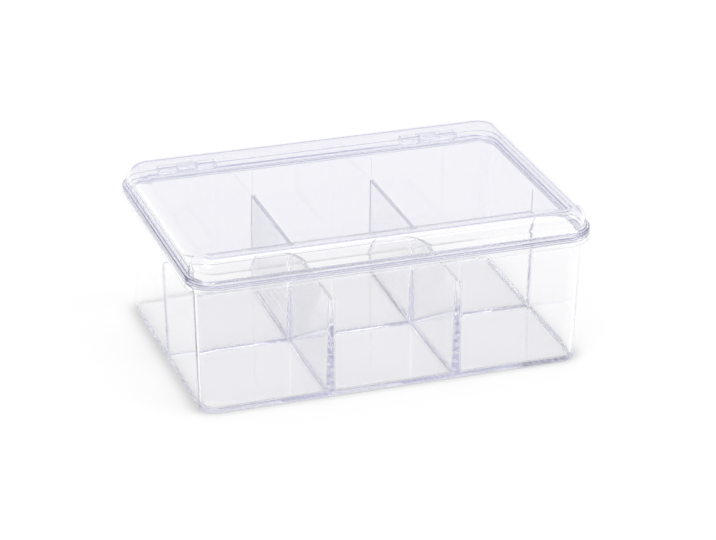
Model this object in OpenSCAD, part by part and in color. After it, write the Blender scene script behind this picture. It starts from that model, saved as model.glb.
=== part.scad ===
// Clear box with six compartments and a domed lid on two pinned hinges.
// The front faces -Y, the hinges lie at +Y, and the floor rests on Z = 0.
// The origin is the middle of the whole box, hinges included, at the level it stands on.

/* [Rim] */
// Width of the rim, the widest part of the box
rim_w = 217; // [180:1:260]
// Depth of the rim from front to back
rim_d = 148; // [120:1:200]
// Corner radius of the rim, seen from above
rim_corner_r = 15; // [14:0.5:24]
// How far the rim reaches out past the top of the tray wall
rim_overhang = 4.2; // [3.6:0.1:5]
// Thickness of the flat plate of the rim
rim_plate_t = 1.8; // [1.2:0.1:2.4]
// Height of the lip along the outer edge of the rim
lip_h = 4.1; // [3.8:0.1:6]
// Thickness of the lip
lip_t = 1.6; // [1.4:0.1:2]
// Rounding of the outer edges of the rim and the lid
edge_r = 0.5; // [0.2:0.1:0.8]

/* [Tray] */
// Height of the tray, from the table to the top of its rim
tray_h = 72.8; // [50:0.2:110]
// Thickness of the tray wall
wall_t = 2; // [1.6:0.1:2.6]
// Thickness of the floor
floor_t = 2.2; // [1.6:0.1:3.2]
// How far the wall leans in from the rim to the foot
wall_lean = 2; // [0.5:0.1:3]
// Rounding of the outer edge of the foot
foot_r = 1.5; // [0.5:0.1:2]
// Fillet between the floor and the wall inside
floor_fillet_r = 2; // [0.8:0.1:2.5]

/* [Dividers] */
// Distance between the two dividers that run front to back
divider_pitch = 68.4; // [50:0.2:80]
// Distance of the divider tops below the top of the rim
divider_drop = 17; // [8:0.5:30]
// Thickness of a divider along its top
divider_top_t = 2.2; // [1.6:0.1:3]
// Thickness of a divider at the floor
divider_foot_t = 4; // [3:0.1:5]
// Rounding along the top of a divider
divider_edge_r = 0.5; // [0.2:0.1:0.7]
// Width of the slim rib on the wall above each divider end
rib_w = 0.6; // [0.4:0.1:1.2]
// Height of that rib off the wall
rib_proud = 0.35; // [0.2:0.05:0.6]

/* [Lid] */
// Gap between the rim of the tray and the closed lid
lid_gap = 0.2; // [0.1:0.05:0.4]
// Thickness of the flat flange round the lid
flange_t = 2.6; // [2:0.1:3.4]
// Width of the ledge between the flange edge and the foot of the dome
ledge_w = 2.1; // [1.4:0.1:2.4]
// Height of the dome above its flange
dome_h = 10.4; // [9:0.2:16]
// Outer radius of the rounded edge of the dome
dome_r = 7.2; // [4:0.2:8]
// Thickness of the dome
lid_t = 2; // [1.6:0.1:2.6]

/* [Hinges] */
// Distance of the middle of each hinge from the side end of the rim
hinge_inset = 39.3; // [34:0.1:60]
// Length of a hinge over its three knuckles
hinge_len = 31.7; // [24:0.1:36]
// Side gap between neighbouring knuckles
knuckle_gap = 0.4; // [0.3:0.05:0.6]
// Outer radius of a knuckle
knuckle_r = 3.2; // [2.8:0.1:3.4]
// Distance of the hinge axis behind the rim
hinge_setback = 2.4; // [2.2:0.1:2.8]
// Gap between a knuckle and the notch that it turns in
notch_gap = 0.4; // [0.3:0.05:0.5]
// Diameter of a hinge pin
pin_d = 2.5; // [2:0.1:3]
// Distance of a pin end inside the end of its hinge
pin_inset = 0.4; // [0.2:0.1:1]
// Chamfer on the ends of a pin
pin_chamfer = 0.3; // [0.1:0.1:0.5]
// Gap round a pin where the tray holds it
pin_grip_gap = 0.02; // [0.01:0.01:0.05]
// Gap round a pin where the lid turns on it
pin_turn_gap = 0.08; // [0.05:0.01:0.1]
// Angle at which the heel of the lid hinge comes to the rim and stops the lid
open_angle = 105; // [95:1:115]
// Gap left between that heel and the rim at the full angle
stop_gap = 0.3; // [0.2:0.05:0.4]

/* [Hidden] */
$fn = 96;

// Overlap that carries a cut past a face or a joined piece into its neighbour
bite = 1;

// The rounded plan of the box is a core rectangle with a section swept round it,
// and the sections below give distances outward from the edge of that core
core_x = rim_w / 2 - rim_corner_r;
core_y = rim_d / 2 - rim_corner_r;
wall_x = rim_corner_r - rim_overhang;
foot_x = wall_x - wall_lean;
lean_rate = wall_lean / tray_h;
lip_z = tray_h - lip_h;
divider_top_z = tray_h - divider_drop;

lid_z = tray_h + lid_gap;
flange_top_z = lid_z + flange_t;
lid_top_z = flange_top_z + dome_h;
dome_x = rim_corner_r - ledge_w;

// The hinge axis lies behind the rim, level with the seam
hinge_x = rim_w / 2 - hinge_inset;
axis_y = rim_d / 2 + hinge_setback;
axis_z = tray_h + lid_gap / 2;
knuckle_len = (hinge_len - 2 * knuckle_gap) / 3;
knuckle_step = knuckle_len + knuckle_gap;
notch_r = knuckle_r + notch_gap;
notch_len = knuckle_len + 2 * knuckle_gap;

// The heel meets the lip halfway between the notch and the lower edge of the lip,
// and turning that point back by the open angle gives the corner of the closed heel
stop_y = stop_gap - hinge_setback;
stop_z = -(sqrt(notch_r * notch_r - hinge_setback * hinge_setback) + axis_z - lip_z) / 2;
heel_y = stop_y * cos(open_angle) - stop_z * sin(open_angle);
heel_z = stop_y * sin(open_angle) + stop_z * cos(open_angle);
heel_round_r = flange_t / 2;

// The box is set so that its front edge and the heels of its hinges are equally far from the origin
rear_reach = hinge_setback + heel_y;
shift_y = -rear_reach / 2;

// Distance of the inner face of the wall from the core at height z
function inner_x(z) = foot_x - wall_t + lean_rate * z;

// Sweeps a section once round the core rectangle
module round_the_core() {
    for (side = [0:3]) {
        run = side % 2 == 0 ? core_x : core_y;
        out = side % 2 == 0 ? core_y : core_x;
        rotate([0, 0, 90 * side]) {
            translate([-run, out, 0]) rotate([90, 0, 90]) linear_extrude(2 * run) children();
            translate([run, out, 0]) rotate_extrude(angle = 90) children();
        }
    }
}

// Fills the core rectangle between two heights
module core_slab(z, thickness) {
    translate([-core_x, -core_y, z]) cube([2 * core_x, 2 * core_y, thickness]);
}

// Section from the core out to a leaning face, with its lower corner rounded by an arc
module leaning_section(low_x, low_z, high_x, high_z, r) {
    rate = (high_x - low_x) / (high_z - low_z);
    slant = sqrt(1 + rate * rate);
    arc_x = low_x + rate * r - slant * r;
    arc_z = low_z + r;
    touch_x = arc_x + r / slant;
    touch_z = arc_z - r * rate / slant;
    difference() {
        polygon([[0, low_z], [low_x, low_z], [high_x, high_z], [0, high_z]]);
        difference() {
            polygon([
                [arc_x, arc_z],
                [arc_x, low_z - bite],
                [low_x + bite, low_z - bite],
                [low_x + bite, touch_z],
                [touch_x, touch_z]
            ]);
            translate([arc_x, arc_z]) circle(r);
        }
    }
}

// Section of a flat bar whose two outer corners are rounded
module edge_bar(from_x, to_x, from_z, to_z) {
    translate([from_x, from_z]) square([to_x - edge_r - from_x, to_z - from_z]);
    translate([from_x, from_z + edge_r]) square([to_x - from_x, to_z - from_z - 2 * edge_r]);
    for (z = [from_z + edge_r, to_z - edge_r]) {
        translate([to_x - edge_r, z]) circle(edge_r);
    }
}

// Section of a dome: straight side, rounded edge and flat top
module dome_section(reach, low_z, high_z, r) {
    translate([0, low_z]) square([reach, high_z - r - low_z]);
    translate([0, low_z]) square([reach - r, high_z - low_z]);
    translate([reach - r, high_z - r]) intersection() {
        circle(r);
        square(r);
    }
}

// Section of the tray: floor, leaning wall, rim plate and lip
module tray_section() {
    difference() {
        leaning_section(foot_x, 0, wall_x, tray_h, foot_r);
        leaning_section(inner_x(floor_t), floor_t, inner_x(tray_h + bite), tray_h + bite, floor_fillet_r);
    }
    translate([inner_x(tray_h) + wall_t / 2, tray_h - rim_plate_t])
        square([rim_corner_r - lip_t / 2 - inner_x(tray_h) - wall_t / 2, rim_plate_t]);
    edge_bar(rim_corner_r - lip_t, rim_corner_r, lip_z, tray_h);
}

// Section of the lid: domed shell on a flat flange
module lid_section() {
    difference() {
        union() {
            dome_section(dome_x, lid_z, lid_top_z, dome_r);
            edge_bar(dome_x - lid_t / 2, rim_corner_r, lid_z, flange_top_z);
        }
        dome_section(dome_x - lid_t, lid_z - bite, lid_top_z - lid_t, dome_r - lid_t);
    }
}

// Cross-section of a divider: drafted faces and a rounded top
module divider_section(low_z) {
    arc_x = divider_top_t / 2 - divider_edge_r;
    arc_z = divider_top_z - divider_edge_r;
    polygon([
        [-divider_foot_t / 2, low_z],
        [divider_foot_t / 2, low_z],
        [divider_foot_t / 2, floor_t],
        [divider_top_t / 2, arc_z],
        [-divider_top_t / 2, arc_z],
        [-divider_foot_t / 2, floor_t]
    ]);
    translate([-arc_x, arc_z - bite]) square([2 * arc_x, divider_edge_r + bite]);
    for (side = [-1, 1]) {
        translate([side * arc_x, arc_z]) circle(divider_edge_r);
    }
}

// One divider along Y: faces drafted, ends set into the leaning walls
module divider(core) {
    low_z = floor_t / 2;
    low_end = core + inner_x(low_z) + wall_t / 2;
    high_end = core + inner_x(divider_top_z) + wall_t / 2;
    intersection() {
        rotate([90, 0, 0]) linear_extrude(2 * high_end + bite, center = true) divider_section(low_z);
        rotate([90, 0, 90]) linear_extrude(divider_foot_t + bite, center = true) polygon([
            [-low_end, low_z],
            [low_end, low_z],
            [high_end, divider_top_z],
            [-high_end, divider_top_z]
        ]);
    }
}

// Slim ribs above the two ends of a divider along Y
module divider_ribs(core) {
    low_z = divider_top_z - bite;
    for (turn = [0, 180]) {
        rotate([90, 0, 90 + turn]) linear_extrude(rib_w, center = true) polygon([
            [core + inner_x(low_z) - rib_proud, low_z],
            [core + inner_x(low_z) + wall_t / 2, low_z],
            [core + inner_x(lip_z) + wall_t / 2, lip_z],
            [core + inner_x(lip_z) - rib_proud, lip_z]
        ]);
    }
}

// The dividers with their ribs: two from front to back and one from side to side
module dividers() {
    for (side = [-1, 1]) {
        translate([side * divider_pitch / 2, 0, 0]) {
            divider(core_y);
            divider_ribs(core_y);
        }
    }
    rotate([0, 0, 90]) {
        divider(core_x);
        divider_ribs(core_x);
    }
}

// Cylinder along X round the hinge axis, at a distance along X from the middle of a hinge
module axis_cylinder(r, length, at_x) {
    translate([at_x, axis_y, axis_z]) rotate([0, 90, 0]) cylinder(h = length, r = r, center = true);
}

// Block behind the rim in a hinge, given by its limits from the hinge axis
module axis_block(length, at_x, from_y, to_y, from_z, to_z) {
    translate([at_x - length / 2, axis_y + from_y, axis_z + from_z])
        cube([length, to_y - from_y, to_z - from_z]);
}

// Repeats a hinge piece on the left and on the right
module at_hinges() {
    for (side = [-1, 1]) {
        translate([side * hinge_x, 0, 0]) children();
    }
}

// The two knuckles of the tray in one hinge, each on a web from the lip
module tray_knuckles() {
    for (side = [-1, 1]) {
        difference() {
            union() {
                axis_cylinder(knuckle_r, knuckle_len, side * knuckle_step);
                axis_block(knuckle_len, side * knuckle_step,
                    -hinge_setback - lip_t / 2, 0, -knuckle_r, -lid_gap / 2);
            }
            axis_cylinder(pin_d / 2 + pin_grip_gap, knuckle_len + 2 * bite, side * knuckle_step);
        }
    }
}

// The lug of the lid in one hinge, with the square heel that stops the lid
module lid_lug() {
    arm_y = -hinge_setback - ledge_w;
    arm_z = lid_gap / 2;
    high_z = arm_z + flange_t;
    difference() {
        union() {
            axis_cylinder(knuckle_r, knuckle_len, 0);
            axis_block(knuckle_len, 0, arm_y, heel_y - heel_round_r, arm_z, high_z);
            axis_block(knuckle_len, 0, 0, heel_y, heel_z, high_z - heel_round_r);
            translate([0, heel_y - heel_round_r, high_z - heel_round_r])
                axis_cylinder(heel_round_r, knuckle_len, 0);
        }
        axis_cylinder(pin_d / 2 + pin_turn_gap, knuckle_len + 2 * bite, 0);
    }
}

// One hinge pin: a plain rod with chamfered ends
module hinge_pin() {
    half = hinge_len / 2 - pin_inset;
    r = pin_d / 2;
    translate([0, axis_y, axis_z]) rotate([0, 90, 0]) rotate_extrude() polygon([
        [0, -half],
        [r - pin_chamfer, -half],
        [r, -half + pin_chamfer],
        [r, half - pin_chamfer],
        [r - pin_chamfer, half],
        [0, half]
    ]);
}

// Lower half of the box: floor, walls, rim, dividers and the outer knuckles
module tray() {
    color([0.93, 0.94, 0.97, 0.4]) translate([0, shift_y, 0]) {
        difference() {
            union() {
                core_slab(0, floor_t);
                round_the_core() tray_section();
            }
            at_hinges() axis_cylinder(notch_r, notch_len, 0);
        }
        dividers();
        at_hinges() tray_knuckles();
    }
}

// Upper half of the box: the domed lid with the middle lug of each hinge
module lid() {
    color([0.88, 0.89, 0.96, 0.4]) translate([0, shift_y, 0]) {
        difference() {
            union() {
                core_slab(lid_top_z - lid_t, lid_t);
                round_the_core() lid_section();
            }
            at_hinges() for (side = [-1, 1]) {
                axis_cylinder(notch_r, notch_len, side * knuckle_step);
            }
        }
        at_hinges() lid_lug();
    }
}

// Pin of the hinge on the left, seen from the front
module left_hinge_pin() {
    color([0.86, 0.87, 0.93]) translate([-hinge_x, shift_y, 0]) hinge_pin();
}

// Pin of the hinge on the right, seen from the front
module right_hinge_pin() {
    color([0.86, 0.87, 0.93]) translate([hinge_x, shift_y, 0]) hinge_pin();
}

tray();
lid();
left_hinge_pin();
right_hinge_pin();
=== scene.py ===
"""Looks of a clear tea box: a tray with six compartments under a domed lid on two pinned hinges.

Sizes are in millimetres unless a name says otherwise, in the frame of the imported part: +X to the
right seen from the front, +Y to the hinges at the back, +Z up, with the box standing on Z = 0.
"""

import logging
import math
from collections.abc import Callable, Iterable, Sequence
from dataclasses import dataclass
from enum import Enum

import bmesh
import bpy
from mathutils import Matrix, Vector


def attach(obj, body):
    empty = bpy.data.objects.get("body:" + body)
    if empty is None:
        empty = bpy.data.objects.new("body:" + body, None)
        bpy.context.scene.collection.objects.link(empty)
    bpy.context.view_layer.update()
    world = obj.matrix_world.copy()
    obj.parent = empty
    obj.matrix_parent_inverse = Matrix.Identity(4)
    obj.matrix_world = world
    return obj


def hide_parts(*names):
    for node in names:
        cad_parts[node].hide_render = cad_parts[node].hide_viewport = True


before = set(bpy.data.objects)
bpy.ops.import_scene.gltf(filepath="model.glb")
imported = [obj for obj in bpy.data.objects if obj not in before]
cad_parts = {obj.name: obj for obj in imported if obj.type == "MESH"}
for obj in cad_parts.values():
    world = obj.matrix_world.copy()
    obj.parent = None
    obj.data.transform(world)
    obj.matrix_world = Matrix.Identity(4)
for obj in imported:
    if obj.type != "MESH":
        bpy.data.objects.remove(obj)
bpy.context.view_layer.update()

LOG = logging.getLogger("tea_box")

# Metres in a millimetre
MM = 0.001
# Angle between two neighbouring points of a rounded edge
ARC_STEP = math.radians(9)
# Least number of steps along an arc
LEAST_STEPS = 2
# How much finer the arcs of the hinges are than rounded edges
HINGE_FINENESS = 1.5
# Least share by which a corner is taken to face inward, which keeps sharp ones from shooting out
LEAST_INWARD = 0.5
# Angle above which an edge between two faces is shaded as a sharp edge
SHARP_ANGLE = math.radians(32)
# Depth to which two faces that lie in one plane are set apart before they are joined
FLUSH = 0.02

Point = tuple[float, float, float]
Outline = list[tuple[float, float]]
Ring = list[bmesh.types.BMVert]


class Join(Enum):
    """How a tool piece changes the piece it is used on."""

    ADD = "UNION"
    CUT = "DIFFERENCE"


class Side(Enum):
    """Left or right, seen from the front, as a direction along X."""

    LEFT = -1
    RIGHT = 1


@dataclass(frozen=True)
class Corner:
    """One corner of a section.

    Attributes:
        out: Distance outward.
        up: Height.
        radius: Radius of the arc that rounds it, or 0 for a sharp corner.
    """

    out: float
    up: float
    radius: float = 0.0


def rounded(corners: Sequence[Corner]) -> Outline:
    """Draws an open line through corners, with an arc at each one that has a radius.

    Args:
        corners: The corners in order, the first and the last of which stay sharp.

    Returns:
        The points of the line.
    """
    points: Outline = []
    last = len(corners) - 1
    for index, corner in enumerate(corners):
        here = Vector((corner.out, corner.up))
        if index in (0, last) or corner.radius <= 0:
            points.append((here.x, here.y))
            continue
        before, after = corners[index - 1], corners[index + 1]
        back = (Vector((before.out, before.up)) - here).normalized()
        ahead = (Vector((after.out, after.up)) - here).normalized()
        opening = back.angle(ahead)
        centre = here + (back + ahead).normalized() * corner.radius / math.sin(opening / 2)
        spoke = here + back * corner.radius / math.tan(opening / 2) - centre
        turn = (math.pi - opening) * (1 if back.cross(ahead) < 0 else -1)
        steps = max(LEAST_STEPS, math.ceil(abs(turn) / ARC_STEP))
        for step in range(steps + 1):
            cosine = math.cos(turn * step / steps)
            sine = math.sin(turn * step / steps)
            points.append((
                centre.x + spoke.x * cosine - spoke.y * sine,
                centre.y + spoke.x * sine + spoke.y * cosine,
            ))
    return points


def arc(radius: float, start: float, end: float) -> Outline:
    """Draws an arc of a hinge round the origin.

    Args:
        radius: Radius of the arc.
        start: Angle of its first point, in degrees.
        end: Angle of its last point, in degrees.

    Returns:
        The points of the arc.
    """
    turn = math.radians(abs(end - start))
    steps = max(LEAST_STEPS, math.ceil(turn / ARC_STEP * HINGE_FINENESS))
    angles = [math.radians(start + (end - start) * step / steps) for step in range(steps + 1)]
    return [(radius * math.cos(angle), radius * math.sin(angle)) for angle in angles]


def inset(outline: Outline, distance: float) -> Outline:
    """Draws a closed outline smaller by moving each point inward.

    Args:
        outline: Points in counter-clockwise order.
        distance: How far the edges move.

    Returns:
        The moved points.
    """
    moved: Outline = []
    count = len(outline)
    for index, (x, y) in enumerate(outline):
        here = Vector((x, y))
        back = (here - Vector(outline[index - 1])).normalized()
        ahead = (Vector(outline[(index + 1) % count]) - here).normalized()
        inward = Vector((-(back.y + ahead.y), back.x + ahead.x)).normalized()
        share = max(LEAST_INWARD, inward.dot(Vector((-back.y, back.x))))
        moved.append((x + inward.x * distance / share, y + inward.y * distance / share))
    return moved


def fillet_inset(height: float, radius: float) -> float:
    """Gives how far a fillet stands off a wall.

    Args:
        height: Height above the floor that the wall meets.
        radius: Radius of the fillet.

    Returns:
        The distance, or 0 above the fillet.
    """
    if height >= radius:
        return 0.0
    return radius - math.sqrt(radius**2 - (radius - height) ** 2)


def direction(azimuth: float, elevation: float) -> Vector:
    """Gives the direction to a place round the box, 0 degrees in front and 90 on the right."""
    a, e = math.radians(azimuth), math.radians(elevation)
    return Vector((math.sin(a) * math.cos(e), -math.cos(a) * math.cos(e), math.sin(e)))


class Shell:
    """A closed surface while it is being made."""

    def __init__(self) -> None:
        """Starts with nothing."""
        self.mesh = bmesh.new()

    def ring(self, points: Iterable[Point]) -> Ring:
        """Adds the points of one closed ring."""
        return [self.mesh.verts.new(point) for point in points]

    def face(self, ring: Ring) -> None:
        """Closes a ring with one flat face."""
        self.mesh.faces.new(ring)

    def bridge(self, first: Ring, second: Ring) -> None:
        """Joins two rings by a band of faces.

        Args:
            first: One ring.
            second: The other, with as many points.
        """
        count = len(first)
        for index in range(count):
            after = (index + 1) % count
            self.face([first[index], first[after], second[after], second[index]])

    def loft(self, rings: Sequence[Iterable[Point]]) -> list[Ring]:
        """Adds rings and joins each one to the next.

        Args:
            rings: The points of the rings in order.

        Returns:
            The rings that were made.
        """
        made = [self.ring(points) for points in rings]
        for first, second in zip(made, made[1:]):
            self.bridge(first, second)
        return made

    def piece(self, name: str) -> bpy.types.Object:
        """Turns the surface into an object in the scene.

        Args:
            name: Name of the object.

        Returns:
            The object, in metres.
        """
        bmesh.ops.recalc_face_normals(self.mesh, faces=self.mesh.faces)
        bmesh.ops.scale(self.mesh, vec=(MM, MM, MM), verts=self.mesh.verts)
        data = bpy.data.meshes.new(name)
        self.mesh.to_mesh(data)
        self.mesh.free()
        made = bpy.data.objects.new(name, data)
        bpy.context.scene.collection.objects.link(made)
        return made


def prism(name: str, outline: Outline, start: float, end: float, bevel: float) -> bpy.types.Object:
    """Makes a bar along X.

    Args:
        name: Name of the object.
        outline: Its section as points along Y and Z, in counter-clockwise order.
        start: Where it starts on X.
        end: Where it ends on X.
        bevel: Size of the bevel round both ends, or 0 for plain ends.

    Returns:
        The bar.
    """
    stations = [(start, 0.0), (end, 0.0)]
    if bevel > 0:
        stations = [(start, bevel), (start + bevel, 0.0), (end - bevel, 0.0), (end, bevel)]
    shell = Shell()
    rings = shell.loft([
        [(x, y, z) for y, z in (inset(outline, distance) if distance else outline)]
        for x, distance in stations
    ])
    shell.face(rings[0])
    shell.face(rings[-1])
    return shell.piece(name)


def use_tools(piece: bpy.types.Object, tools: Sequence[bpy.types.Object], join: Join) -> None:
    """Adds pieces to a piece, or cuts them out of it, and removes them.

    Args:
        piece: The piece that changes.
        tools: The pieces that it is changed by.
        join: Whether they are added or cut out.
    """
    for tool in tools:
        modifier = piece.modifiers.new(join.name.lower(), "BOOLEAN")
        modifier.operation = join.value
        modifier.solver = "EXACT"
        modifier.object = tool
    state = bpy.context.evaluated_depsgraph_get()
    before = piece.data
    piece.data = bpy.data.meshes.new_from_object(piece.evaluated_get(state))
    piece.data.name = before.name
    piece.modifiers.clear()
    bpy.data.meshes.remove(before)
    for tool in tools:
        data = tool.data
        bpy.data.objects.remove(tool)
        bpy.data.meshes.remove(data)


def smooth(piece: bpy.types.Object) -> None:
    """Shades curved faces as smooth, keeps real edges sharp and flat faces flat.

    Args:
        piece: The piece.
    """
    shape = bmesh.new()
    shape.from_mesh(piece.data)
    for face in shape.faces:
        face.smooth = True
    for edge in shape.edges:
        edge.smooth = edge.calc_face_angle(0.0) < SHARP_ANGLE
    shape.to_mesh(piece.data)
    shape.free()
    weighted = piece.modifiers.new("flat_faces", "WEIGHTED_NORMAL")
    weighted.keep_sharp = True


@dataclass(frozen=True)
class Plan:
    """The rounded plan of the box: a core rectangle that every section is swept round.

    Attributes:
        width: Width over the rim.
        depth: Depth over the rim.
        corner: Corner radius of the rim.
        centre_y: Where the middle of the rim lies on Y.
        steps: Number of faces round a corner.
    """

    width: float = 217.0
    depth: float = 148.0
    corner: float = 15.0
    centre_y: float = -3.134
    steps: int = 20

    @property
    def core_x(self) -> float:
        """Half the width of the core rectangle."""
        return self.width / 2 - self.corner

    @property
    def core_y(self) -> float:
        """Half the depth of the core rectangle."""
        return self.depth / 2 - self.corner

    @property
    def rear_y(self) -> float:
        """Where the back of the rim lies on Y."""
        return self.centre_y + self.depth / 2

    def rectangle(
        self,
        low: tuple[float, float],
        high: tuple[float, float],
        z: float,
        radii: Sequence[float],
        steps: Sequence[int],
    ) -> list[list[Point]]:
        """Draws the four arcs of a rounded rectangle.

        Args:
            low: Its left and front limits.
            high: Its right and rear limits, from the middle of the rim as the others are.
            z: Its height.
            radii: Corner radii, counter-clockwise from the front left.
            steps: Number of faces round each of those corners.

        Returns:
            The points of each arc, counter-clockwise.
        """
        arcs: list[list[Point]] = []
        for index, (radius, count) in enumerate(zip(radii, steps)):
            x = high[0] - radius if index in (1, 2) else low[0] + radius
            y = high[1] - radius if index in (2, 3) else low[1] + radius
            angles = [math.pi + math.pi / 2 * (index + step / count) for step in range(count + 1)]
            arcs.append([
                (x + radius * math.cos(angle), self.centre_y + y + radius * math.sin(angle), z)
                for angle in angles
            ])
        return arcs

    def ring(self, out: float, z: float) -> list[Point]:
        """Draws the line round the core rectangle.

        Args:
            out: Its distance outward from the core rectangle.
            z: Its height.

        Returns:
            Its points, counter-clockwise.
        """
        x, y = self.core_x + out, self.core_y + out
        arcs = self.rectangle((-x, -y), (x, y), z, [out] * 4, [self.steps] * 4)
        return [point for points in arcs for point in points]

    def sweep(self, section: Outline) -> list[list[Point]]:
        """Draws the rings of a section that is swept round the core rectangle."""
        return [self.ring(out, z) for out, z in section]


@dataclass(frozen=True)
class Hinges:
    """The two hinges along the back of the rim.

    Attributes:
        plan: Plan of the box.
        inset: Distance of the middle of a hinge from the side end of the rim.
        length: Length of a hinge over its three knuckles.
        gap: Side gap between neighbouring knuckles.
        radius: Outer radius of a knuckle.
        setback: Distance of the hinge axis behind the rim.
        axis_z: Height of the hinge axis.
        notch_gap: Gap between a knuckle and the notch that it turns in.
        pin: Diameter of a pin.
        bevel: Bevel round the ends of a knuckle.
    """

    plan: Plan
    inset: float = 39.3
    length: float = 31.7
    gap: float = 0.4
    radius: float = 3.2
    setback: float = 2.4
    axis_z: float = 72.9
    notch_gap: float = 0.4
    pin: float = 2.5
    bevel: float = 0.15

    @property
    def knuckle(self) -> float:
        """Length of one knuckle."""
        return (self.length - 2 * self.gap) / 3

    @property
    def step(self) -> float:
        """Distance between the middles of two neighbouring knuckles."""
        return self.knuckle + self.gap

    @property
    def axis_y(self) -> float:
        """Where the hinge axis lies on Y."""
        return self.plan.rear_y + self.setback

    def middle(self, side: Side) -> float:
        """Where the middle of a hinge lies on X."""
        return side.value * (self.plan.width / 2 - self.inset)

    def bar(
        self, name: str, outline: Outline, middle: float, length: float, bevel: float = 0.0
    ) -> bpy.types.Object:
        """Makes a bar along a stretch of the hinge axis, with its section drawn from the axis."""
        placed = [(self.axis_y + y, self.axis_z + z) for y, z in outline]
        return prism(name, placed, middle - length / 2, middle + length / 2, bevel)

    def bores(self, middles: Sequence[float], gap: float) -> list[bpy.types.Object]:
        """Makes the rods that cut the bores of knuckles, with a gap round the pin."""
        circle = arc(self.pin / 2 + gap, 0, 360)[:-1]
        return [self.bar("bore", circle, x, self.knuckle + 2 * self.gap) for x in middles]

    def notches(self, middles: Sequence[float]) -> list[bpy.types.Object]:
        """Makes the rods that cut the notches in which knuckles turn."""
        circle = arc(self.radius + self.notch_gap, 0, 360)[:-1]
        return [self.bar("notch", circle, x, self.knuckle + 2 * self.gap) for x in middles]

    def outer_middles(self) -> list[float]:
        """Where the outer knuckles of both hinges lie on X."""
        return [self.middle(side) + end.value * self.step for side in Side for end in Side]

    def inner_middles(self) -> list[float]:
        """Where the middle knuckles of both hinges lie on X."""
        return [self.middle(side) for side in Side]


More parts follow.
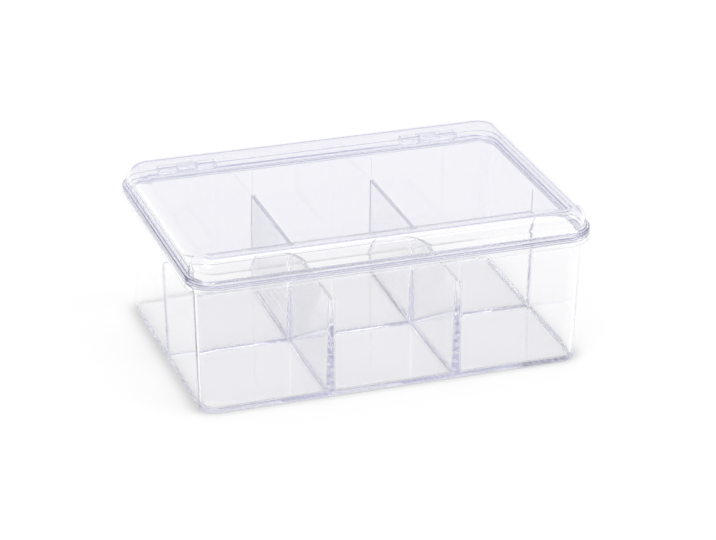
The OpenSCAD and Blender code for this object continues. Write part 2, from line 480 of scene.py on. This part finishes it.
@dataclass(frozen=True)
class ClearPlastic:
    """Clear moulded plastic: glass-like, faintly tinted where light travels far inside it.

    Attributes:
        name: Name of the material.
        ior: Index of refraction.
        tint: Colour that light takes on inside.
        density: How fast it takes it on, for each metre.
        roughness: Roughness of the polished surface.
        haze: How much rougher the worn patches are.
        haze_scale: How many of those patches there are along a metre.
        haze_detail: How finely they are broken up.
        haze_range: Noise at which they begin and at which they are fully worn.
        wave_height: Height of the flow waves, in metres.
        wave_size: Size of the flow waves.
        wave_detail: How finely the flow waves are broken up.
        shadow: Colour that a lamp's light keeps where it passes through a face head-on.
        edge_shadow: Colour that it keeps where it passes along a face, as it does down a wall.
        edge_power: How closely the light has to run along the face for that.
    """

    name: str
    ior: float = 1.55
    tint: tuple[float, float, float] = (0.5, 0.5, 0.75)
    density: float = 0.8
    roughness: float = 0.015
    haze: float = 0.05
    haze_scale: float = 60.0
    haze_detail: float = 6.0
    haze_range: tuple[float, float] = (0.45, 0.8)
    wave_height: float = 0.000015
    wave_size: float = 22.0
    wave_detail: float = 1.5
    shadow: tuple[float, float, float] = (0.995, 0.995, 0.998)
    edge_shadow: tuple[float, float, float] = (0.1, 0.1, 0.12)
    edge_power: float = 4.0

    @staticmethod
    def noise(tree: bpy.types.NodeTree, scale: float, detail: float) -> bpy.types.NodeSocket:
        """Makes a noise that stays on the piece as it moves.

        Args:
            tree: The material's nodes.
            scale: How many of its patches there are along a metre.
            detail: How finely they are broken up.

        Returns:
            The strength of the noise, from 0 to 1.
        """
        place = tree.nodes.new("ShaderNodeTexCoord").outputs["Object"]
        made = tree.nodes.new("ShaderNodeTexNoise")
        made.inputs["Scale"].default_value = scale
        made.inputs["Detail"].default_value = detail
        tree.links.new(place, made.inputs["Vector"])
        return made.outputs["Fac"]

    def material(self) -> bpy.types.Material:
        """Makes the material.

        Returns:
            The material, with its nodes.
        """
        made = bpy.data.materials.new(self.name)
        made.use_nodes = True
        nodes, links = made.node_tree.nodes, made.node_tree.links
        nodes.clear()

        plastic = nodes.new("ShaderNodeBsdfPrincipled")
        plastic.inputs["Base Color"].default_value = (1, 1, 1, 1)
        plastic.inputs["IOR"].default_value = self.ior
        plastic.inputs["Transmission Weight"].default_value = 1.0

        haze = self.noise(made.node_tree, self.haze_scale, self.haze_detail)
        polish = nodes.new("ShaderNodeMapRange")
        polish.inputs["From Min"].default_value = self.haze_range[0]
        polish.inputs["From Max"].default_value = self.haze_range[1]
        polish.inputs["To Min"].default_value = self.roughness
        polish.inputs["To Max"].default_value = self.roughness + self.haze
        links.new(haze, polish.inputs["Value"])
        links.new(polish.outputs["Result"], plastic.inputs["Roughness"])

        wave = self.noise(made.node_tree, 1 / (self.wave_size * MM), self.wave_detail)
        bump = nodes.new("ShaderNodeBump")
        bump.inputs["Strength"].default_value = 1.0
        bump.inputs["Distance"].default_value = self.wave_height
        links.new(wave, bump.inputs["Height"])
        links.new(bump.outputs["Normal"], plastic.inputs["Normal"])

        along = nodes.new("ShaderNodeLayerWeight")
        grazing = nodes.new("ShaderNodeMath")
        grazing.operation = "POWER"
        grazing.inputs[1].default_value = self.edge_power
        links.new(along.outputs["Facing"], grazing.inputs[0])
        kept = nodes.new("ShaderNodeMix")
        kept.data_type = "RGBA"
        kept.inputs["A"].default_value = (*self.shadow, 1)
        kept.inputs["B"].default_value = (*self.edge_shadow, 1)
        links.new(grazing.outputs["Value"], kept.inputs["Factor"])
        passing = nodes.new("ShaderNodeBsdfTransparent")
        links.new(kept.outputs["Result"], passing.inputs["Color"])
        path = nodes.new("ShaderNodeLightPath")
        choice = nodes.new("ShaderNodeMixShader")
        links.new(path.outputs["Is Shadow Ray"], choice.inputs["Fac"])
        links.new(plastic.outputs["BSDF"], choice.inputs[1])
        links.new(passing.outputs["BSDF"], choice.inputs[2])

        depth = nodes.new("ShaderNodeVolumeAbsorption")
        depth.inputs["Color"].default_value = (*self.tint, 1)
        depth.inputs["Density"].default_value = self.density
        output = nodes.new("ShaderNodeOutputMaterial")
        links.new(choice.outputs["Shader"], output.inputs["Surface"])
        links.new(depth.outputs["Volume"], output.inputs["Volume"])
        return made


def dress(piece: bpy.types.Object, finish: ClearPlastic, body: str) -> None:
    """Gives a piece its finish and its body.

    Args:
        piece: The piece.
        finish: Its finish.
        body: The body that it moves with.
    """
    piece.data.materials.clear()
    piece.data.materials.append(finish.material())
    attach(piece, body)


@dataclass
class Tray:
    """The lower half: floor, leaning walls, rim with its lip, dividers, ribs and outer knuckles.

    Attributes:
        plan: Plan of the box.
        hinges: The two hinges.
        finish: Finish of the plastic.
        height: Height up to the top of the rim.
        wall: Thickness of the wall.
        floor: Thickness of the floor.
        overhang: How far the rim reaches out past the top of the wall.
        lean: How far the wall leans in from the rim to the foot.
        foot_r: Rounding of the outer edge of the foot.
        rim_plate: Thickness of the flat plate of the rim.
        lip_h: Height of the lip along the outer edge of the rim.
        lip: Thickness of the lip.
        edge_r: Rounding of the outer edges of the rim.
        root_r: Fillets under the rim.
        pitch: Distance between the two dividers that run front to back.
        drop: Distance of the divider tops below the top of the rim.
        divider_top: Thickness of a divider along its top.
        divider_foot: Thickness of a divider at the floor.
        divider_r: Rounding along the top of a divider.
        floor_r: Fillet between the floor and the wall.
        divider_floor_r: Fillet between the floor and a divider.
        crossing_r: Upright fillet where a divider meets a wall or another divider.
        least_r: Least radius of that fillet, at the floor.
        rib: Width of the slim rib on the wall above a divider end.
        rib_proud: Height of that rib off the wall.
        grip_gap: Gap round a pin where the tray holds it.
        splice: Distance from the divider tops up to the foot of the plain wall, and down to the
            feet of the ribs.
        fillet_steps: Number of faces round an upright fillet.
        round_steps: Number of faces round the top of a divider, and up the fillet at its foot.
        rib_steps: Number of faces round a rib.
    """

    plan: Plan
    hinges: Hinges
    finish: ClearPlastic
    height: float = 72.8
    wall: float = 2.0
    floor: float = 2.2
    overhang: float = 4.2
    lean: float = 2.0
    foot_r: float = 1.5
    rim_plate: float = 1.8
    lip_h: float = 4.1
    lip: float = 1.6
    edge_r: float = 0.5
    root_r: float = 0.5
    pitch: float = 68.4
    drop: float = 17.0
    divider_top: float = 2.2
    divider_foot: float = 4.0
    divider_r: float = 0.5
    floor_r: float = 2.0
    divider_floor_r: float = 1.0
    crossing_r: float = 1.2
    least_r: float = 0.25
    rib: float = 0.6
    rib_proud: float = 0.35
    grip_gap: float = 0.02
    splice: float = 1.0
    fillet_steps: int = 5
    round_steps: int = 6
    rib_steps: int = 8

    @property
    def divider_z(self) -> float:
        """Height of the divider tops."""
        return self.height - self.drop

    @property
    def lip_z(self) -> float:
        """Height of the lower edge of the lip."""
        return self.height - self.lip_h

    def outer(self, z: float) -> float:
        """Distance of the outer face of the wall from the core at a height."""
        return self.plan.corner - self.overhang - self.lean * (1 - z / self.height)

    def inner(self, z: float) -> float:
        """Distance of the inner face of the wall from the core at a height."""
        return self.outer(z) - self.wall

    def divider_half(self, z: float) -> float:
        """Gives half the thickness of a divider, with its rounded top.

        Args:
            z: Height at which it is measured.

        Returns:
            The half thickness.
        """
        share = (self.divider_z - z) / (self.divider_z - self.floor)
        thickness = self.divider_top + (self.divider_foot - self.divider_top) * share
        return thickness / 2 - fillet_inset(self.divider_z - z, self.divider_r)

    def outer_section(self) -> Outline:
        """Draws the section from the underside, up the wall, round the rim and into the tray.

        Returns:
            Its points.
        """
        rim = self.plan.corner
        plate_z = self.height - self.rim_plate
        return rounded([
            Corner(self.outer(0) - 2 * self.foot_r, 0),
            Corner(self.outer(0), 0, self.foot_r),
            Corner(self.outer(plate_z), plate_z, self.root_r),
            Corner(rim - self.lip, plate_z, self.root_r),
            Corner(rim - self.lip, self.lip_z, self.edge_r / 2),
            Corner(rim, self.lip_z, self.edge_r),
            Corner(rim, self.height, self.edge_r),
            Corner(self.inner(self.height), self.height, self.edge_r),
            Corner(self.inner(self.divider_z + self.splice), self.divider_z + self.splice),
        ])

    def pocket_heights(self) -> list[float]:
        """Gives the heights of a compartment's rings.

        Returns:
            The heights, from the divider tops down to the floor.
        """
        quarter = [math.pi / 2 * step / self.round_steps for step in range(self.round_steps + 1)]
        top = [self.divider_z - self.divider_r * (1 - math.cos(angle)) for angle in quarter]
        foot = [self.floor + self.floor_r * (1 - math.sin(angle)) for angle in quarter]
        return top + foot

    def pocket(self, column: int, row: int, z: float) -> list[list[Point]]:
        """Draws one compartment's outline at a height.

        Args:
            column: 0 to 2, from the left.
            row: 0 for the front, 1 for the rear.
            z: The height.

        Returns:
            The points of its four corner arcs, counter-clockwise from the front left.
        """
        above = z - self.floor
        wall_in = fillet_inset(above, self.floor_r)
        divider_in = fillet_inset(above, self.divider_floor_r)
        half = self.divider_half(z) + divider_in
        wall_x = self.plan.core_x + self.inner(z) - wall_in
        wall_y = self.plan.core_y + self.inner(z) - wall_in
        left = -wall_x if column == 0 else self.pitch * (column - 1.5) + half
        right = wall_x if column == 2 else self.pitch * (column - 0.5) - half
        front = -wall_y if row == 0 else half
        rear = wall_y if row == 1 else -half
        radii = [max(self.least_r, self.crossing_r - wall_in)] * 4
        steps = [self.fillet_steps] * 4
        if column != 1:
            box_corner = [[0, 3], [1, 2]][column == 2][row]
            radii[box_corner] = self.inner(z) - wall_in
            steps[box_corner] = self.plan.steps
        return self.plan.rectangle((left, front), (right, rear), z, radii, steps)

    def ribs(self) -> list[bpy.types.Object]:
        """Makes the slim ribs on the wall above the ends of the dividers.

        Returns:
            The six ribs.
        """
        half = self.rib / 2
        low_z = self.divider_z - self.splice
        turns = [math.pi * step / self.rib_steps for step in range(self.rib_steps + 1)]
        nose = [(half * math.cos(angle), math.sin(angle)) for angle in turns]
        ends = [(self.pitch / 2 * side.value, self.plan.core_y, turn)
                for side in Side for turn in (0, 180)]
        ends += [(0.0, self.plan.core_x, turn) for turn in (90, 270)]
        made = []
        for along, core, turn in ends:
            shell = Shell()
            rings = []
            for z in (low_z, self.lip_z):
                face = core + self.inner(z)
                points = [(x, face - self.rib_proud * y) for x, y in nose]
                points += [(-half, face + self.wall / 2), (half, face + self.wall / 2)]
                rings.append([(x, y, z) for x, y in points])
            low, high = shell.loft(rings)
            shell.face(low)
            shell.face(high)
            made_rib = shell.piece("rib")
            place = Matrix.Rotation(math.radians(turn), 4, "Z")
            across = -along if turn == 180 else along
            made_rib.data.transform(place @ Matrix.Translation((across * MM, 0, 0)))
            made_rib.data.transform(Matrix.Translation((0, self.plan.centre_y * MM, 0)))
            made.append(made_rib)
        return made

    def knuckles(self) -> list[bpy.types.Object]:
        """Makes the four knuckles, each with the web that holds it to the lip.

        Returns:
            The knuckles.
        """
        radius = self.hinges.radius
        seam = self.hinges.axis_z - self.height + FLUSH
        lean = math.degrees(math.asin(seam / radius))
        web = -self.hinges.setback - self.lip / 2
        outline = arc(radius, -90, 180 + lean) + [(web, -seam), (web, -radius)]
        return [
            self.hinges.bar("knuckle", outline, x, self.hinges.knuckle, self.hinges.bevel)
            for x in self.hinges.outer_middles()
        ]

    def build(self) -> bpy.types.Object:
        """Makes the tray.

        Returns:
            The tray, dressed and riding on its body.
        """
        shell = Shell()
        outside = shell.loft(self.plan.sweep(self.outer_section()))
        shell.face(outside[0])
        tops: dict[tuple[int, int], list[Ring]] = {}
        for column in range(3):
            for row in range(2):
                arcs = [self.pocket(column, row, z) for z in self.pocket_heights()]
                rings = shell.loft([[p for part in level for p in part] for level in arcs])
                shell.face(rings[-1])
                tops[column, row] = self.split(rings[0], [len(part) for part in arcs[0]])
        self.close_top(shell, outside[-1], tops)
        tray = shell.piece("tray_shell")
        use_tools(tray, self.hinges.notches(self.hinges.inner_middles()), Join.CUT)
        use_tools(tray, self.ribs() + self.knuckles(), Join.ADD)
        use_tools(tray, self.hinges.bores(self.hinges.outer_middles(), self.grip_gap), Join.CUT)
        smooth(tray)
        dress(tray, self.finish, "tray")
        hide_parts("tray")
        return tray

    @staticmethod
    def split(ring: Ring, counts: Sequence[int]) -> list[Ring]:
        """Splits a ring into its four corner arcs."""
        starts = [sum(counts[:index]) for index in range(len(counts))]
        return [ring[start:start + count] for start, count in zip(starts, counts)]

    def close_top(
        self, shell: Shell, wall_ring: Ring, tops: dict[tuple[int, int], list[Ring]]
    ) -> None:
        """Joins the wall to the tops of the compartments, and closes the tops of the dividers.

        Args:
            shell: The surface of the tray.
            wall_ring: The lowest ring of the wall's inner face.
            tops: The four corner arcs of each compartment's highest ring.
        """
        # Each compartment in turn round the box, with its arcs that follow the wall
        around = [((0, 0), (3, 0, 1)), ((1, 0), (0, 1)), ((2, 0), (0, 1, 2)),
                  ((2, 1), (1, 2, 3)), ((1, 1), (2, 3)), ((0, 1), (2, 3, 0))]
        wall_arcs = self.split(wall_ring, [self.plan.steps + 1] * 4)
        corners: list[Ring] = []
        straights: list[Ring] = []
        straight: Ring = []
        divider_tops: Ring = []
        for place, on_wall in around:
            arcs = tops[place]
            first, last = arcs[on_wall[0]][-1], arcs[on_wall[-1]][0]
            straight.append(first)
            if len(on_wall) == 3:
                corner = arcs[on_wall[1]]
                straight.append(corner[0])
                straights.append(straight)
                corners.append(corner)
                straight = [corner[-1]]
            straight.append(last)
            ring = [vert for part in arcs for vert in part]
            start = ring.index(first)
            backward = [ring[start - step] for step in range(len(ring))]
            divider_tops += backward[:backward.index(last) + 1]
        straights[0] = straight + straights[0]
        for index in range(4):
            low, high = corners[index], wall_arcs[index]
            for step in range(self.plan.steps):
                shell.face([low[step], low[step + 1], high[step + 1], high[step]])
            before = wall_arcs[index - 1]
            shell.face(straights[index] + [high[0], before[-1]])
        shell.face(divider_tops)


@dataclass
class Lid:
    """The upper half: a domed shell on a flat flange, with the middle lug of each hinge.

    Attributes:
        plan: Plan of the box.
        hinges: The two hinges.
        finish: Finish of the plastic.
        low_z: Height of the underside of the flange.
        flange: Thickness of the flange.
        ledge: Width of the ledge between the flange edge and the foot of the dome.
        dome_h: Height of the dome above its flange.
        dome_r: Outer radius of the rounded edge of the dome.
        shell: Thickness of the dome.
        edge_r: Rounding of the outer edges of the flange.
        root_r: Fillet at the foot of the dome.
        inner_r: Rounding of the inner edge of the flange.
        turn_gap: Gap round a pin where the lid turns on it.
        heel_y: Reach of the square heel of a lug behind the hinge axis.
        heel_z: Height of the foot of that heel from the hinge axis.
        heel_r: Rounding of that foot.
        margin: Distance of the flat top's outermost ring from the rounded edge.
    """

    plan: Plan
    hinges: Hinges
    finish: ClearPlastic
    low_z: float = 73.0
    flange: float = 2.6
    ledge: float = 2.1
    dome_h: float = 10.4
    dome_r: float = 7.2
    shell: float = 2.0
    edge_r: float = 0.5
    root_r: float = 0.5
    inner_r: float = 0.5
    turn_gap: float = 0.08
    heel_y: float = 3.868
    heel_z: float = -1.138
    heel_r: float = 0.2
    margin: float = 1.0

    @property
    def flange_z(self) -> float:
        """Height of the top of the flange."""
        return self.low_z + self.flange

    @property
    def top_z(self) -> float:
        """Height of the top of the dome."""
        return self.flange_z + self.dome_h

    def section(self) -> Outline:
        """Draws the section from the top of the dome, round the flange and up inside.

        Returns:
            Its points.
        """
        rim = self.plan.corner
        dome = rim - self.ledge
        hollow = dome - self.shell
        hollow_z = self.top_z - self.shell
        flat = dome - self.dome_r - self.margin
        return rounded([
            Corner(flat, self.top_z),
            Corner(dome, self.top_z, self.dome_r),
            Corner(dome, self.flange_z, self.root_r),
            Corner(rim, self.flange_z, self.edge_r),
            Corner(rim, self.low_z, self.edge_r),
            Corner(hollow, self.low_z, self.inner_r),
            Corner(hollow, hollow_z, self.dome_r - self.shell),
            Corner(flat, hollow_z),
        ])

    def lugs(self) -> list[bpy.types.Object]:
        """Makes the middle lug of each hinge, with the heel that stops the open lid.

        Returns:
            The lugs.
        """
        radius = self.hinges.radius
        low = self.low_z - self.hinges.axis_z + FLUSH
        high = low + self.flange - 2 * FLUSH
        arm = -self.hinges.setback - self.ledge
        lean = math.degrees(math.asin(low / radius))
        meet = math.degrees(math.asin(self.heel_z / radius))
        heel = rounded([
            Corner(radius * math.cos(math.radians(meet)), self.heel_z),
            Corner(self.heel_y, self.heel_z, self.heel_r),
            Corner(self.heel_y, high, self.flange / 2),
            Corner(arm, high),
        ])
        outline = heel + [(arm, low)] + arc(radius, 180 - lean, 360 + meet)[:-1]
        return [
            self.hinges.bar("lug", outline, x, self.hinges.knuckle, self.hinges.bevel)
            for x in self.hinges.inner_middles()
        ]

    def build(self) -> bpy.types.Object:
        """Makes the lid.

        Returns:
            The lid, dressed and riding on its body.
        """
        shell = Shell()
        rings = shell.loft(self.plan.sweep(self.section()))
        shell.face(rings[0])
        shell.face(rings[-1])
        lid = shell.piece("lid_shell")
        use_tools(lid, self.hinges.notches(self.hinges.outer_middles()), Join.CUT)
        use_tools(lid, self.lugs(), Join.ADD)
        use_tools(lid, self.hinges.bores(self.hinges.inner_middles(), self.turn_gap), Join.CUT)
        smooth(lid)
        dress(lid, self.finish, "lid")
        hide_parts("lid")
        return lid


@dataclass
class Pins:
    """The two hinge pins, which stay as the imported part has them.

    Attributes:
        finish: Finish of the plastic.
    """

    finish: ClearPlastic

    def build(self) -> list[bpy.types.Object]:
        """Dresses the pins.

        Returns:
            The pins.
        """
        material = self.finish.material()
        pins = [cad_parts[f"{side.name.lower()}_hinge_pin"] for side in Side]
        for pin in pins:
            for holder in pin.material_slots:
                holder.material = material
        return pins


@dataclass(frozen=True)
class Lamp:
    """One soft studio lamp that lights the whole floor evenly.

    Attributes:
        name: Name of the lamp.
        azimuth: Where it stands, in degrees round the box, 0 in front and 90 on the right.
        elevation: How high it stands, in degrees.
        spread: How wide it looks from the box, in degrees.
        strength: Light that it gives a face turned to it, in watts a square metre.
    """

    name: str
    azimuth: float
    elevation: float
    spread: float
    strength: float

    def build(self) -> bpy.types.Object:
        """Makes the lamp.

        Returns:
            The lamp, in the scene.
        """
        data = bpy.data.lights.new(self.name, "SUN")
        data.angle = math.radians(self.spread)
        data.energy = self.strength
        lamp = bpy.data.objects.new(self.name, data)
        away = direction(self.azimuth, self.elevation)
        lamp.location = away
        lamp.rotation_mode = "QUATERNION"
        lamp.rotation_quaternion = (-away).to_track_quat("-Z", "Y")
        bpy.context.scene.collection.objects.link(lamp)
        return lamp


@dataclass
class Studio:
    """Pale floor, pale surroundings, soft lamps and the camera at the photo's angle.

    Attributes:
        azimuth: Where the camera stands round the box, in degrees.
        elevation: How high the camera stands, in degrees.
        roll: How far the camera is turned about its line of sight, in degrees.
        target: The point that the camera looks at.
        distance: Distance of the camera from that point.
        lens: Focal length.
        sensor: Width of the camera's sensor.
        clip: Nearest and furthest distance that the camera shows, in metres.
        lamps: The lamps.
        floor_size: Side length of the floor, in metres.
        floor_colour: Colour of the floor.
        floor_glow: Share of the floor's colour that needs no lamp.
        level: Strength of the surroundings as a light.
        floor_gap: Gap between the floor and the foot of the box.
        sky: Colours of the surroundings as glass and gloss show them, by the sine of the height.
        crossings: Number of surfaces that light may cross or bounce off on its way.
    """

    azimuth: float = -19.137
    elevation: float = 24.722
    roll: float = 0.46
    target: tuple[float, float, float] = (-2.811, -20.7, 45.0)
    distance: float = 1501.9
    lens: float = 144.34
    sensor: float = 36.0
    clip: tuple[float, float] = (0.05, 50.0)
    lamps: tuple[Lamp, ...] = (
        Lamp("top_lamp", 0, 88, 9, 2.0),
        Lamp("key_lamp", -55, 50, 36, 0.75),
        Lamp("fill_lamp", 60, 48, 36, 0.6),
        Lamp("rear_lamp", 165, 64, 30, 0.35),
    )
    floor_size: float = 12.0
    floor_colour: tuple[float, float, float] = (0.95, 0.95, 0.95)
    floor_glow: float = 0.3
    floor_gap: float = 0.02
    level: float = 0.06
    sky: tuple[tuple[float, tuple[float, float, float]], ...] = (
        (0.0, (0.95, 0.95, 0.96)),
        (0.3, (0.6, 0.59, 0.76)),
        (0.6, (0.36, 0.35, 0.51)),
        (0.9, (0.4, 0.4, 0.52)),
    )
    crossings: int = 64

    def camera(self) -> bpy.types.Object:
        """Makes the camera.

        Returns:
            The camera, in use by the scene.
        """
        data = bpy.data.cameras.new("camera")
        data.sensor_fit = "HORIZONTAL"
        data.sensor_width = self.sensor
        data.lens = self.lens
        data.clip_start, data.clip_end = self.clip
        camera = bpy.data.objects.new("camera", data)
        away = direction(self.azimuth, self.elevation)
        camera.location = (Vector(self.target) + away * self.distance) * MM
        turn = (-away).to_track_quat("-Z", "Y").to_matrix().to_4x4()
        turn = turn @ Matrix.Rotation(math.radians(self.roll), 4, "Z")
        camera.rotation_mode = "QUATERNION"
        camera.rotation_quaternion = turn.to_quaternion()
        bpy.context.scene.collection.objects.link(camera)
        bpy.context.scene.camera = camera
        return camera

    @staticmethod
    def seen(nodes: bpy.types.Nodes, links: bpy.types.NodeLinks) -> bpy.types.NodeSocket:
        """Tells what is seen, straight or in and through the plastic, from what only lights it.

        Args:
            nodes: The nodes of the floor's material or of the surroundings.
            links: Their links.

        Returns:
            1 for rays from the camera, from gloss and through glass, and 0 for other rays.
        """
        path = nodes.new("ShaderNodeLightPath")
        seen = path.outputs["Is Camera Ray"]
        for kind in ("Is Glossy Ray", "Is Transmission Ray"):
            either = nodes.new("ShaderNodeMath")
            either.operation = "MAXIMUM"
            links.new(seen, either.inputs[0])
            links.new(path.outputs[kind], either.inputs[1])
            seen = either.outputs["Value"]
        return seen

    def floor(self) -> bpy.types.Object:
        """Makes the pale floor, which keeps the shadow of the box.

        Returns:
            The floor.
        """
        half = self.floor_size / 2 / MM
        shell = Shell()
        corners = [(-half, -half), (half, -half), (half, half), (-half, half)]
        shell.face(shell.ring([(x, y, -self.floor_gap) for x, y in corners]))
        floor = shell.piece("floor")
        material = bpy.data.materials.new("pale_floor")
        material.use_nodes = True
        nodes, links = material.node_tree.nodes, material.node_tree.links
        nodes.clear()
        matt = nodes.new("ShaderNodeBsdfDiffuse")
        matt.inputs["Color"].default_value = (*self.floor_colour, 1)
        glow = nodes.new("ShaderNodeEmission")
        glow.inputs["Strength"].default_value = 1.0
        share = nodes.new("ShaderNodeMath")
        share.operation = "MULTIPLY"
        share.inputs[1].default_value = self.floor_glow
        links.new(self.seen(nodes, links), share.inputs[0])
        mix = nodes.new("ShaderNodeMixShader")
        links.new(share.outputs["Value"], mix.inputs["Fac"])
        links.new(matt.outputs["BSDF"], mix.inputs[1])
        links.new(glow.outputs["Emission"], mix.inputs[2])
        output = nodes.new("ShaderNodeOutputMaterial")
        links.new(mix.outputs["Shader"], output.inputs["Surface"])
        floor.data.materials.append(material)
        return floor

    def surroundings(self) -> bpy.types.World:
        """Makes the white surroundings, which glass and gloss show as darker overhead.

        Returns:
            The surroundings.
        """
        world = bpy.data.worlds.new("surroundings")
        world.use_nodes = True
        nodes, links = world.node_tree.nodes, world.node_tree.links
        nodes.clear()
        direction = nodes.new("ShaderNodeTexCoord").outputs["Generated"]
        parts = nodes.new("ShaderNodeSeparateXYZ")
        links.new(direction, parts.inputs["Vector"])
        ramp = nodes.new("ShaderNodeValToRGB")
        ramp.color_ramp.interpolation = "EASE"
        stops = ramp.color_ramp.elements
        while len(stops) < len(self.sky):
            stops.new(1.0)
        for stop, (height, colour) in zip(stops, self.sky):
            stop.position = height
            stop.color = (*colour, 1)
        links.new(parts.outputs["Z"], ramp.inputs["Fac"])
        path = nodes.new("ShaderNodeLightPath")
        behind = nodes.new("ShaderNodeMix")
        behind.data_type = "RGBA"
        behind.inputs["B"].default_value = (1, 1, 1, 1)
        links.new(path.outputs["Is Camera Ray"], behind.inputs["Factor"])
        links.new(ramp.outputs["Color"], behind.inputs["A"])
        shown = nodes.new("ShaderNodeBackground")
        links.new(behind.outputs["Result"], shown.inputs["Color"])
        light = nodes.new("ShaderNodeBackground")
        light.inputs["Strength"].default_value = self.level
        mix = nodes.new("ShaderNodeMixShader")
        links.new(self.seen(nodes, links), mix.inputs["Fac"])
        links.new(light.outputs["Background"], mix.inputs[1])
        links.new(shown.outputs["Background"], mix.inputs[2])
        output = nodes.new("ShaderNodeOutputWorld")
        links.new(mix.outputs["Shader"], output.inputs["Surface"])
        bpy.context.scene.world = world
        return world

    def light_paths(self) -> None:
        """Lets light cross all the walls of the box, and keeps bright specks off the floor."""
        paths = bpy.context.scene.cycles
        paths.max_bounces = self.crossings
        paths.transmission_bounces = self.crossings
        paths.glossy_bounces = self.crossings
        paths.transparent_max_bounces = self.crossings
        paths.caustics_reflective = False
        paths.caustics_refractive = False

    def build(self) -> None:
        """Makes the camera, the floor, the surroundings and the lamps."""
        self.light_paths()
        self.camera()
        self.floor()
        self.surroundings()
        for lamp in self.lamps:
            lamp.build()


def main() -> None:
    """Builds the studio and the box, and reports each piece."""
    logging.basicConfig(level=logging.INFO, format="%(message)s")
    bpy.context.scene.view_settings.view_transform = "Standard"
    Studio().build()
    plan = Plan()
    hinges = Hinges(plan)
    lid_plastic = ClearPlastic("clear_lid_plastic", tint=(0.55, 0.56, 0.85), density=5.0)
    steps: list[tuple[str, Callable[[], object]]] = [
        ("tray", Tray(plan, hinges, ClearPlastic("clear_tray_plastic")).build),
        ("lid", Lid(plan, hinges, lid_plastic).build),
        ("pins", Pins(ClearPlastic("clear_pin_plastic")).build),
    ]
    for name, build in steps:
        made = build()
        for piece in made if isinstance(made, list) else [made]:
            LOG.info("%s: %s, %d faces", name, piece.name, len(piece.data.polygons))


if __name__ == "__main__":
    main()
